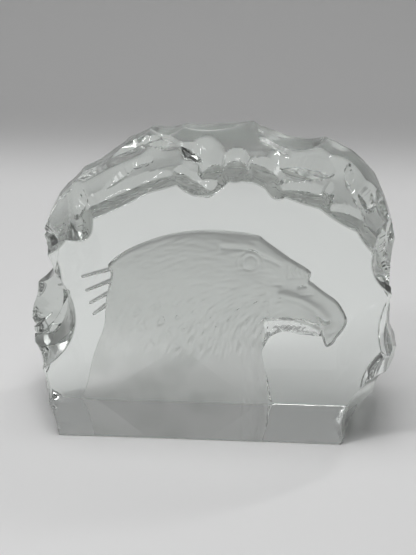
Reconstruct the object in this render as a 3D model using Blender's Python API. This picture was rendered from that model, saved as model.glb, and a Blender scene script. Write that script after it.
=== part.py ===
"""Crystal block figurine with an eagle's head sunk into its back face.

Metres, +Z up. The block stands on its flat base with the origin under its middle. Its
polished front face looks along -Y, the sunk head fills the back face and its beak points
to +X, so the head is seen through the whole depth of the crystal.
"""
import math

import bmesh
import bpy
import numpy as np
from mathutils import Vector

MM = 0.001

# The rough block, before its rim is chipped
BLOCK_WIDTH = 109.0 * MM
BLOCK_HEIGHT = 87.6 * MM
BLOCK_DEPTH = 39.0 * MM
BASE_WIDTH = 101.0 * MM
WAIST_HEIGHT = 27.0 * MM  # the outline is widest here
CREST_RISE = 9.0 * MM  # draft of the mould: the top climbs this much from the front to the back
LEFT_FULLNESS = 2.4  # power of the curve that rounds the left shoulder: 2 is an ellipse
RIGHT_FULLNESS = 3.1
ARCH_STEPS = 112  # straight pieces in each stretch of the outline
SIDE_STEPS = 12
BASE_STEPS = 30
DEPTH_STEPS = 17
FRAME_STEP = math.radians(1.5)  # half the arc over which a chip's direction is read

# Chips along the front edge, from the right side over the top to the left side. Each row has
# the clock angle seen from the waist, how far the chip eats into the face, how far back it
# runs as a share of the depth, and the half-sizes of its scoop across and along.
FRONT_CHIPS = (
    (-22, 12.8 * MM, 0.46, 23 * MM, 26 * MM),
    (-3, 3.6 * MM, 0.40, 34 * MM, 34 * MM),
    (14, 4.6 * MM, 0.60, 26 * MM, 40 * MM),
    (29, 6.7 * MM, 0.66, 28 * MM, 80 * MM),
    (39, 5.1 * MM, 0.66, 46 * MM, 80 * MM),
    (50, 5.3 * MM, 0.64, 55 * MM, 80 * MM),
    (60, 4.1 * MM, 0.62, 76 * MM, 80 * MM),
    (70, 4.1 * MM, 0.50, 14 * MM, 80 * MM),
    (92, 4.3 * MM, 0.60, 24 * MM, 80 * MM),
    (111, 2.5 * MM, 0.62, 90 * MM, 80 * MM),
    (122, 4.8 * MM, 0.64, 90 * MM, 80 * MM),
    (133, 8.2 * MM, 0.56, 18 * MM, 80 * MM),
    (141, 4.8 * MM, 0.60, 30 * MM, 80 * MM),
    (152.5, 7.4 * MM, 0.55, 14 * MM, 50 * MM),
    (168.5, 16.6 * MM, 0.66, 26 * MM, 40 * MM),
    (192, 6.8 * MM, 0.48, 24 * MM, 30 * MM),
    (206, 6.8 * MM, 0.44, 28 * MM, 30 * MM),
)

# Chips along the back edge, plainer and mostly hidden
BACK_CHIPS = (
    (-21, 6.5 * MM, 0.36, 22 * MM, 28 * MM),
    (0, 5 * MM, 0.38, 26 * MM, 30 * MM),
    (19, 5.5 * MM, 0.30, 22 * MM, 28 * MM),
    (35, 6.5 * MM, 0.16, 26 * MM, 28 * MM),
    (50, 7 * MM, 0.12, 26 * MM, 26 * MM),
    (65, 8 * MM, 0.12, 30 * MM, 26 * MM),
    (81, 6 * MM, 0.12, 30 * MM, 24 * MM),
    (97, 7.5 * MM, 0.12, 30 * MM, 28 * MM),
    (114, 6.5 * MM, 0.12, 30 * MM, 26 * MM),
    (131, 7.5 * MM, 0.14, 26 * MM, 26 * MM),
    (148, 6 * MM, 0.24, 22 * MM, 26 * MM),
    (168, 8.5 * MM, 0.34, 22 * MM, 28 * MM),
    (190, 3.5 * MM, 0.30, 20 * MM, 28 * MM),
    (208, 2.5 * MM, 0.24, 20 * MM, 28 * MM),
)

# Chips out of the crest that notch the outline: clock angle, bite, place in the depth from
# front to back, and the half-sizes of the scoop across and along the depth
CREST_CHIPS = (
    (-28, 9.5 * MM, 0.45, 26 * MM, 40 * MM),
    (-16, 4 * MM, 0.45, 12 * MM, 60 * MM),
    (6, 3.3 * MM, 0.45, 12 * MM, 60 * MM),
    (17, 3.8 * MM, 0.45, 20 * MM, 60 * MM),
    (57, 1 * MM, 0.88, 20 * MM, 60 * MM),
    (69, 4.1 * MM, 0.88, 22 * MM, 60 * MM),
    (92, 1.8 * MM, 0.88, 50 * MM, 60 * MM),
    (103, 2 * MM, 0.88, 12 * MM, 60 * MM),
    (114, 1.6 * MM, 0.88, 40 * MM, 60 * MM),
    (123, 3.2 * MM, 0.85, 30 * MM, 60 * MM),
    (134, 1.2 * MM, 0.80, 38 * MM, 60 * MM),
    (158, 7.2 * MM, 0.45, 13 * MM, 50 * MM),
    (170, 1.5 * MM, 0.45, 16 * MM, 50 * MM),
    (190, 2.2 * MM, 0.45, 30 * MM, 50 * MM),
    (204, 3.2 * MM, 0.45, 30 * MM, 50 * MM),
)

# Bowls with flat floors in the chipped rim: clock angle, place in the depth, turn from the way
# right towards the back, half-length, half-width and half-height of the bowl, and its bite
RIM_BOWLS = (
    (121, 0.16, 0, 20 * MM, 6 * MM, 5 * MM, 1.2 * MM),
    (120, 0.58, 0, 20 * MM, 6 * MM, 5 * MM, 1 * MM),
    (118.5, 0.37, 29, 7 * MM, 1.6 * MM, 2.4 * MM, 0.8 * MM),
    (96, 0.14, -14, 7.5 * MM, 4.6 * MM, 4 * MM, 0.7 * MM),
    (97, 0.42, -18, 6 * MM, 4.5 * MM, 4 * MM, 0.9 * MM),
    (90, 0.30, 86, 7 * MM, 3.4 * MM, 3.4 * MM, 1.4 * MM),
    (82.5, 0.22, 90, 9 * MM, 3.8 * MM, 3.8 * MM, 1.8 * MM),
    (74, 0.20, 0, 6 * MM, 6 * MM, 4 * MM, 1 * MM),
    (62.4, 0.40, 26, 8.5 * MM, 4 * MM, 4 * MM, 1.4 * MM),
    (60, 0.14, 22, 8.5 * MM, 4.6 * MM, 4 * MM, 1.1 * MM),
    (55, 0.20, 88, 6.5 * MM, 2 * MM, 2.4 * MM, 1.1 * MM),
    (43.5, 0.46, 55, 5 * MM, 3.2 * MM, 3.2 * MM, 1.2 * MM),
    (46, 0.14, 24, 7 * MM, 4.6 * MM, 4 * MM, 1.1 * MM),
    (28, 0.31, -50, 9.5 * MM, 4 * MM, 4 * MM, 1.2 * MM),
)
FLOOR_SLOPE = math.radians(6)  # how much their floors climb towards the back
BOWL_STEP = math.radians(0.7)  # half the arc over which the rim is read under a bowl
FLOOR_GRAZE = 0.01  # a heading flatter than this to a floor counts as this steep

# The sunk head. Its outline and carving are shares of its length, from the base's middle.
HEAD_LENGTH = 80.0 * MM
HEAD_DEPTH = 5.0 * MM
WALL_HEIGHT = 1.1 * MM  # sloped wall round the head's outline
WALL_SLOPE = 1.1
DOME_RUN = 18.0 * MM  # distance over which the head swells from its wall
DOME_INSET = 1.0 * MM  # the swelling starts this far in, where the wall ends
GRID_PITCH = 1.2 * MM
OUTSIDE_RISE = 1.2 * MM  # how far the cutter stands clear of the back face round the head
CUTTER_BACKING = 3.0 * MM
CUTTER_MARGIN = 2.5 * MM  # how far the cutter reaches past the head's outline and the base
OUTLINE_STEPS = 5  # straight pieces between two points of the head's outline

HEAD_OUTLINE = (
    (-0.388, 0.558), (-0.308, 0.621), (-0.179, 0.675), (-0.050, 0.698), (0.078, 0.696),
    (0.161, 0.683), (0.188, 0.665), (0.280, 0.598), (0.329, 0.568), (0.359, 0.544),
    (0.356, 0.513), (0.368, 0.501), (0.413, 0.466), (0.458, 0.433), (0.489, 0.385),
    (0.499, 0.349), (0.485, 0.313), (0.464, 0.283), (0.450, 0.258), (0.424, 0.245),
    (0.408, 0.281), (0.393, 0.289), (0.325, 0.295), (0.269, 0.305), (0.220, 0.284),
    (0.195, 0.245), (0.184, 0.216), (0.193, 0.163), (0.209, 0.100), (0.223, 0.016),
    (0.228, -0.050), (-0.525, -0.050), (-0.516, -0.010), (-0.488, 0.056),
    (-0.465, 0.154), (-0.443, 0.226), (-0.413, 0.309), (-0.403, 0.411), (-0.383, 0.513),
)
BROW_LINE = ((0.036, 0.622), (0.125, 0.622), (0.180, 0.579), (0.235, 0.545), (0.320, 0.550))
MOUTH_LINE = ((0.175, 0.345), (0.235, 0.357), (0.303, 0.353), (0.356, 0.338), (0.400, 0.314))
CERE_LINE = ((0.362, 0.560), (0.372, 0.470), (0.262, 0.447), (0.250, 0.350))

# Rounded swellings and hollows of the head: place, spread and height
ROUND_FORMS = (
    ((0.060, 0.470), 0.130, 0.012),  # cheek
    ((0.145, 0.566), 0.040, -0.016),  # eye socket
    ((0.238, 0.500), 0.045, -0.010),  # between the eye and the beak
)
# Ridges and grooves of the head: line, half-width and height
LINE_FORMS = (
    (BROW_LINE, 0.020, 0.013),
    (MOUTH_LINE, 0.010, -0.014),
    (CERE_LINE, 0.008, -0.008),
)
EYE = (0.131, 0.578)
EYE_RADIUS = 0.026
EYE_BULGE = 0.014
EYELID_RADIUS = 0.0286
EYELID_WIDTH = 0.007
EYELID_DEPTH = 0.006
JAW_START = 0.190  # the lower jaw lies between these two, below the line of the mouth
JAW_END = 0.410
JAW_DROP = 0.010
CARVING_FADE = 0.030  # distance from the outline over which the carving comes in

# Feathers, which fan out in rows from a centre between the eye and the beak
FLOW_CENTRE = (0.275, 0.500)
FLOW_TWIST = 0.95  # radians that the lanes turn in one head length
FIRST_ROW = 0.100  # distance from the centre to the first row
ROW_GROWTH = 1.17  # each row lies this many times as far out as the one before
LANE_ANGLE = 0.125  # radians between two feathers of a row
TIP_CURVE = 0.30  # how far a feather's rounded tip reaches into the next row
OVERLAP_CURVE = 0.45
FEATHER_HEIGHT = 0.0070
FEATHER_START = 0.17  # the face is bare up to here, and in full feather from the next value
FEATHER_FULL = 0.27

NAPE_TIPS = 4
NAPE_TIP_ROOT = (-0.372, 0.540)
NAPE_TIP_STEP = (-0.010, -0.049)
NAPE_TIP_LENGTH = 0.122
NAPE_TIP_SHORTENING = 0.020
NAPE_TIP_HEADING = math.radians(197)
NAPE_TIP_FAN = math.radians(7)
NAPE_TIP_HALF_WIDTH = 0.015
NAPE_TIP_POINT = 0.004  # half-width left at the very tip
NAPE_TIP_DEPTH = 0.010


def collection_named(name):
    collection = bpy.data.collections.new(name)
    bpy.context.scene.collection.children.link(collection)
    return collection


def make_crystal():
    material = bpy.data.materials.new("clear_crystal")
    material.use_nodes = True
    shader = material.node_tree.nodes["Principled BSDF"]
    shader.inputs["Base Color"].default_value = (0.90, 0.94, 0.92, 1)
    shader.inputs["Roughness"].default_value = 0.03
    shader.inputs["Metallic"].default_value = 0.0
    shader.inputs["IOR"].default_value = 1.52
    shader.inputs["Transmission Weight"].default_value = 1.0
    return material


def waist_reach(clock, share):
    """Distance from the middle of the waist to the rough outline, at a share of the depth."""
    half_width = BLOCK_WIDTH / 2
    across = abs(math.cos(clock))
    rise = math.sin(clock)
    if rise >= 0:
        arch = BLOCK_HEIGHT - WAIST_HEIGHT - CREST_RISE * (1 - share)
        power = RIGHT_FULLNESS if math.cos(clock) > 0 else LEFT_FULLNESS
        return ((across / half_width) ** power + (rise / arch) ** power) ** (-1 / power)
    draft = (half_width - BASE_WIDTH / 2) / WAIST_HEIGHT
    side = half_width / (across - draft * rise)
    return min(side, -WAIST_HEIGHT / rise)


def outline_point(clock, share):
    """Point of the rough outline, with the height above the base as its second number."""
    reach = waist_reach(clock, share)
    return Vector((reach * math.cos(clock), WAIST_HEIGHT + reach * math.sin(clock)))


def outline_frame(clock, share):
    """Point, outward direction and direction along the rough outline, as 3-D vectors."""
    here = outline_point(clock, share)
    along = outline_point(clock + FRAME_STEP, share) - outline_point(clock - FRAME_STEP, share)
    along.normalize()
    point = Vector((here.x, (share - 0.5) * BLOCK_DEPTH, here.y))
    tangent = Vector((along.x, 0, along.y))
    outward = Vector((along.y, 0, -along.x))
    return point, outward, tangent


def edge_scoop(row, side):
    """Egg-shaped scoop that takes a chip out of the front edge (side -1) or the back edge (1).

    A scoop is its centre, its three square axes, each divided by its half-size, and the point
    and outward direction of its flat floor, or None where it has none.
    """
    degrees, bite, run, across, along = row
    clock = math.radians(degrees)
    at_face, at_rim = (0, run) if side < 0 else (1, 1 - run)
    edge, outward, tangent = outline_frame(clock, at_face)
    on_face = edge - outward * bite
    on_rim = outline_frame(clock, at_rim)[0]
    chord = on_rim - on_face
    facing = chord.cross(tangent).normalized()
    if facing.dot(outward) < 0:
        facing.negate()
    lift = along * math.sqrt(1 - (chord.length / 2 / along) ** 2)
    centre = (on_face + on_rim) / 2 + facing * lift
    return centre, (tangent / across, chord.normalized() / along, facing / along), None


def crest_scoop(row):
    """Scoop that takes a chip out of the crest, square to the outline."""
    degrees, bite, place, across, along = row
    point, outward, tangent = outline_frame(math.radians(degrees), place)
    centre = point + outward * (across - bite)
    return centre, (tangent / across, Vector((0, 1, 0)) / along, outward / across), None


def waist_rays(clocks, shares):
    """Starts on the middle line of the waist and headings outward from it."""
    starts = np.zeros((len(clocks), 3))
    starts[:, 1] = (shares - 0.5) * BLOCK_DEPTH
    starts[:, 2] = WAIST_HEIGHT
    return starts, np.stack((np.cos(clocks), np.zeros(len(clocks)), np.sin(clocks)), axis=1)


def scoop_reach(starts, headings, scoop):
    """Distance along each heading to where it meets the scoop, infinite where it misses."""
    centre, axes, floor = scoop
    axes = np.array(axes)
    offset = (starts - np.array(centre)) @ axes.T
    slant = headings @ axes.T
    a = (slant * slant).sum(axis=1)
    b = (slant * offset).sum(axis=1)
    c = (offset * offset).sum(axis=1) - 1
    root = b * b - a * c
    meets = (root > 0) & (b < 0)
    reach = np.where(meets, (-b - np.sqrt(np.maximum(root, 0))) / a, np.inf)
    if floor:
        point, outward = np.array(floor)
        to_floor = (point - starts) @ outward / np.maximum(headings @ outward, FLOOR_GRAZE)
        reach = np.maximum(reach, to_floor)
    return reach


def chipped_reach(clocks, shares, scoops):
    """Distance from the waist's middle line to the rough outline or the nearest scoop."""
    starts, headings = waist_rays(clocks, shares)
    reach = np.array([waist_reach(*spot) for spot in zip(clocks, shares)])
    for scoop in scoops:
        reach = np.minimum(reach, scoop_reach(starts, headings, scoop))
    return reach


def bowl_scoop(row, scoops):
    """Bowl with a flat floor, cut into the rim that the other scoops leave."""
    degrees, place, turn, half_length, half_width, half_height, bite = row
    clock, turn = math.radians(degrees), math.radians(turn)
    clocks = clock + np.array((0, -BOWL_STEP, BOWL_STEP))
    shares = np.full(len(clocks), place)
    starts, headings = waist_rays(clocks, shares)
    spots = starts + headings * chipped_reach(clocks, shares, scoops)[:, None]
    point, right, left = [Vector(spot) for spot in spots]
    across = (right - left).normalized()
    level = Vector((0, math.cos(FLOOR_SLOPE), 0))
    in_depth = level + across.cross((0, math.sin(FLOOR_SLOPE), 0))
    outward = across.cross(in_depth)
    lengthwise = across * math.cos(turn) + in_depth * math.sin(turn)
    sideways = outward.cross(lengthwise)
    floor = point - outward * bite
    centre = floor + outward * half_height / 2
    axes = lengthwise / half_length, sideways / half_width, outward / half_height
    return centre, axes, (floor, outward)


def all_scoops():
    scoops = [edge_scoop(row, -1) for row in FRONT_CHIPS]
    scoops += [edge_scoop(row, 1) for row in BACK_CHIPS]
    scoops += [crest_scoop(row) for row in CREST_CHIPS]
    return scoops + [bowl_scoop(row, scoops) for row in RIM_BOWLS]


def outline_clocks():
    """Clock angles round the outline, with points on both corners of the base."""
    corner = math.atan2(WAIST_HEIGHT, BASE_WIDTH / 2)
    stretches = (
        (0, math.pi, ARCH_STEPS),
        (math.pi, math.pi + corner, SIDE_STEPS),
        (math.pi + corner, 2 * math.pi - corner, BASE_STEPS),
        (2 * math.pi - corner, 2 * math.pi, SIDE_STEPS),
    )
    clocks = [np.linspace(start, end, steps, endpoint=False) for start, end, steps in stretches]
    return np.concatenate(clocks)


def make_chipped_block():
    """Rings from the front face to the back face, each drawn in to where a chip meets it."""
    clocks = outline_clocks()
    pitch = BLOCK_DEPTH / DEPTH_STEPS
    bm = bmesh.new()
    bmesh.ops.create_circle(bm, segments=len(clocks), radius=BLOCK_WIDTH / 2)
    ring = list(bm.edges)
    for _ in range(DEPTH_STEPS):
        made = bmesh.ops.extrude_edge_only(bm, edges=ring)["geom"]
        verts = [item for item in made if isinstance(item, bmesh.types.BMVert)]
        ring = [item for item in made if isinstance(item, bmesh.types.BMEdge)]
        bmesh.ops.translate(bm, verts=verts, vec=(0, 0, pitch))
    bmesh.ops.holes_fill(bm, edges=bm.edges)
    spots = np.array([vert.co for vert in bm.verts])
    turns = np.arctan2(spots[:, 1], spots[:, 0]) / (2 * math.pi)
    clock = clocks[np.round(turns * len(clocks)).astype(int) % len(clocks)]
    shares = spots[:, 2] / BLOCK_DEPTH
    starts, headings = waist_rays(clock, shares)
    reach = chipped_reach(clock, shares, all_scoops())
    for vert, spot in zip(bm.verts, starts + headings * reach[:, None]):
        vert.co = spot
    bmesh.ops.recalc_face_normals(bm, faces=bm.faces)
    mesh = bpy.data.meshes.new("crystal_block")
    bm.to_mesh(mesh)
    bm.free()
    return bpy.data.objects.new("crystal_block", mesh)


def smooth_loop(points, steps):
    """Closed Catmull-Rom curve through the points."""
    points = np.asarray(points)
    before = np.roll(points, 1, axis=0)[:, None]
    after = np.roll(points, -1, axis=0)[:, None]
    beyond = np.roll(points, -2, axis=0)[:, None]
    t = (np.arange(steps) / steps)[None, :, None]
    here = points[:, None]
    curve = here + t * (after - before) / 2
    curve = curve + t**2 * (2 * before - 5 * here + 4 * after - beyond) / 2
    curve = curve + t**3 * (3 * here - 3 * after + beyond - before) / 2
    return curve.reshape(-1, 2)


def line_distance(x, z, line, closed=False):
    """Distance from every point to a line of straight pieces, and the place along it."""
    line = np.asarray(line)
    ends = np.roll(line, -1, axis=0) if closed else line[1:]
    starts = line if closed else line[:-1]
    nearest = np.full(x.shape, np.inf)
    place = np.zeros(x.shape)
    for index, (start, end) in enumerate(zip(starts, ends)):
        piece = end - start
        share = ((x - start[0]) * piece[0] + (z - start[1]) * piece[1]) / (piece @ piece)
        share = np.clip(share, 0, 1)
        away = np.hypot(x - start[0] - share * piece[0], z - start[1] - share * piece[1])
        closer = away < nearest
        nearest = np.where(closer, away, nearest)
        place = np.where(closer, (index + share) / len(starts), place)
    return nearest, place


def inside_loop(x, z, loop):
    inside = np.zeros(x.shape, dtype=bool)
    for start, end in zip(loop, np.roll(loop, -1, axis=0)):
        spans = (start[1] > z) != (end[1] > z)
        rise = end[1] - start[1] if end[1] != start[1] else 1
        crossing = start[0] + (z - start[1]) * (end[0] - start[0]) / rise
        inside ^= spans & (x < crossing)
    return inside


def ease(value, low, high):
    """Smooth step from 0 at low to 1 at high."""
    share = np.clip((value - low) / (high - low), 0, 1)
    return share * share * (3 - 2 * share)


def bump(x, z, centre, spread):
    return np.exp(-((x - centre[0]) ** 2 + (z - centre[1]) ** 2) / (2 * spread**2))


def feathers(x, z):
    """Overlapping feather rows that fan out from the beak and curve down the neck."""
    away = np.hypot(x - FLOW_CENTRE[0], z - FLOW_CENTRE[1])
    turn = np.arctan2(z - FLOW_CENTRE[1], x - FLOW_CENTRE[0]) % (2 * math.pi)
    lane = (turn - FLOW_TWIST * away) / LANE_ANGLE
    row = np.log(np.maximum(away, FIRST_ROW / 2) / FIRST_ROW) / math.log(ROW_GROWTH)
    tip = TIP_CURVE * np.cos(2 * math.pi * (lane + 0.5 * np.floor(row)))
    row_start = np.floor(row + tip)
    across = (lane + 0.5 * row_start) % 1 - 0.5  # -0.5 to 0.5 over one feather's width
    overlap = np.clip(row + OVERLAP_CURVE * np.cos(2 * math.pi * across) - row_start, 0, 1.2)
    slope = 0.6 * overlap + 0.5 * (0.5 - np.abs(across))  # up to the tip and to the shaft
    growth = 0.35 + 1.2 * away  # small on the face, long down the neck
    return FEATHER_HEIGHT * slope * growth * ease(away, FEATHER_START, FEATHER_FULL)


def nape_tips(x, z):
    """Pointed feather tips that stand out behind the neck."""
    depth = np.full(x.shape, -1.0)
    for tip in range(NAPE_TIPS):
        root = np.array(NAPE_TIP_ROOT) + tip * np.array(NAPE_TIP_STEP)
        length = NAPE_TIP_LENGTH - tip * NAPE_TIP_SHORTENING
        heading = NAPE_TIP_HEADING + tip * NAPE_TIP_FAN
        end = root + length * np.array((math.cos(heading), math.sin(heading)))
        away, share = line_distance(x, z, (root, end))
        half_width = NAPE_TIP_HALF_WIDTH + (NAPE_TIP_POINT - NAPE_TIP_HALF_WIDTH) * share
        ridge = NAPE_TIP_DEPTH * (1 - share / 2)
        depth = np.maximum(depth, ridge * (1 - away / half_width))
    return depth


def head_depth(x, z):
    """How deep the head is sunk at each point of the back face, below zero outside it."""
    u, v = x / HEAD_LENGTH, z / HEAD_LENGTH
    loop = smooth_loop(HEAD_OUTLINE, OUTLINE_STEPS)
    edge, _ = line_distance(u, v, loop, closed=True)
    inset = np.where(inside_loop(u, v, loop), edge, -edge)
    wall = np.minimum(WALL_SLOPE * inset * HEAD_LENGTH, WALL_HEIGHT)
    swell = 1 - np.exp(-np.maximum(inset * HEAD_LENGTH - DOME_INSET, 0) / DOME_RUN)
    depth = wall + (HEAD_DEPTH - WALL_HEIGHT) * swell

    carving = feathers(u, v)
    for place, spread, height in ROUND_FORMS:
        carving = carving + height * bump(u, v, place, spread)
    for line, half_width, height in LINE_FORMS:
        away, _ = line_distance(u, v, line)
        carving = carving + height * np.exp(-((away / half_width) ** 2))
    to_eye = np.hypot(u - EYE[0], v - EYE[1])
    ball = np.sqrt(np.maximum(1 - (to_eye / EYE_RADIUS) ** 2, 0))
    lid = np.exp(-(((to_eye - EYELID_RADIUS) / EYELID_WIDTH) ** 2))
    carving = carving + EYE_BULGE * ball - EYELID_DEPTH * lid
    below_mouth = ease(np.interp(u, *zip(*MOUTH_LINE)) - v, -0.005, 0.015)
    jaw = below_mouth * ease(u, JAW_START, JAW_START + 0.04) * ease(JAW_END - u, 0, 0.02)
    carving = carving - JAW_DROP * jaw
    depth = depth + carving * HEAD_LENGTH * ease(inset, 0, CARVING_FADE)
    tips = nape_tips(u, v) * HEAD_LENGTH
    return np.maximum(np.maximum(depth, tips), -OUTSIDE_RISE)


def make_head_cutter(cutters):
    """Grid over the back face, pushed into the block by the head's depth and closed behind."""
    outline = np.array(HEAD_OUTLINE) * HEAD_LENGTH
    low_x = outline[:, 0].min() - CUTTER_MARGIN
    high_x = outline[:, 0].max() + CUTTER_MARGIN
    low_z = -CUTTER_MARGIN
    high_z = outline[:, 1].max() + CUTTER_MARGIN
    columns = round((high_x - low_x) / GRID_PITCH)
    rows = round((high_z - low_z) / GRID_PITCH)
    bm = bmesh.new()
    bmesh.ops.create_grid(bm, x_segments=columns, y_segments=rows, size=0.5)
    spots = np.array([vert.co[:2] for vert in bm.verts])
    x = low_x + (spots[:, 0] + 0.5) * (high_x - low_x)
    z = low_z + (spots[:, 1] + 0.5) * (high_z - low_z)
    depth = head_depth(x, z)
    for vert, across, up, sunk in zip(bm.verts, x, z, depth):
        vert.co = (across, BLOCK_DEPTH / 2 - sunk, up)
    rim = [edge for edge in bm.edges if edge.is_boundary]
    walls = bmesh.ops.extrude_edge_only(bm, edges=rim)["geom"]
    back_loop = [item for item in walls if isinstance(item, bmesh.types.BMVert)]
    for vert in back_loop:
        vert.co.y = BLOCK_DEPTH / 2 + CUTTER_BACKING
    bmesh.ops.contextual_create(bm, geom=[edge for edge in bm.edges if edge.is_boundary])
    bmesh.ops.recalc_face_normals(bm, faces=bm.faces)
    mesh = bpy.data.meshes.new("sunk_head")
    bm.to_mesh(mesh)
    bm.free()
    cutter = bpy.data.objects.new("sunk_head", mesh)
    cutter.display_type = "WIRE"
    cutter.hide_render = True
    cutters.objects.link(cutter)
    return cutter


def build():
    for obj in list(bpy.data.objects):
        bpy.data.objects.remove(obj)
    parts = collection_named("crystal_eagle_head")
    cutters = collection_named("cutters")
    block = make_chipped_block()
    parts.objects.link(block)
    block.data.materials.append(make_crystal())
    block.data.shade_smooth()
    sinking = block.modifiers.new("sunk_head", "BOOLEAN")
    sinking.operation = "DIFFERENCE"
    sinking.solver = "EXACT"
    sinking.object = make_head_cutter(cutters)


build()
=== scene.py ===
import math

import bmesh
import bpy
import numpy as np
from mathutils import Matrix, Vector


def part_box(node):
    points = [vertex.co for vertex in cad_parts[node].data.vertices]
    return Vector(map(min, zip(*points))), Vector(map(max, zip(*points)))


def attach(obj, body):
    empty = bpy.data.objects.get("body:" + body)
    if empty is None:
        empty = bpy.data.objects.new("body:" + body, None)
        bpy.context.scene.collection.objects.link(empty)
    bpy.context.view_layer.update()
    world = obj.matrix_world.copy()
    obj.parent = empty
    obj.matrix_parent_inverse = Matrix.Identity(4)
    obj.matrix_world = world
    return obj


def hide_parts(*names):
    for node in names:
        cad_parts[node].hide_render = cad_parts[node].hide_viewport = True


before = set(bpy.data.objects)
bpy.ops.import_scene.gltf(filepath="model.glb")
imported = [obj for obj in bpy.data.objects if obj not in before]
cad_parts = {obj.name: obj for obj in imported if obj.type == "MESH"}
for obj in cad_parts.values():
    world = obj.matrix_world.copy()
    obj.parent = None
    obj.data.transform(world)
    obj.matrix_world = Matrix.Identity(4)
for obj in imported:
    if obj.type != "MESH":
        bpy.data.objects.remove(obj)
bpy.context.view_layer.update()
nodeLow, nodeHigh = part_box("crystal_block")
mm = 0.001
farOut = 1e6  # mm, the reach where nothing is cut
print("frame loaded")

scene = bpy.context.scene
collection = scene.collection


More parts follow.
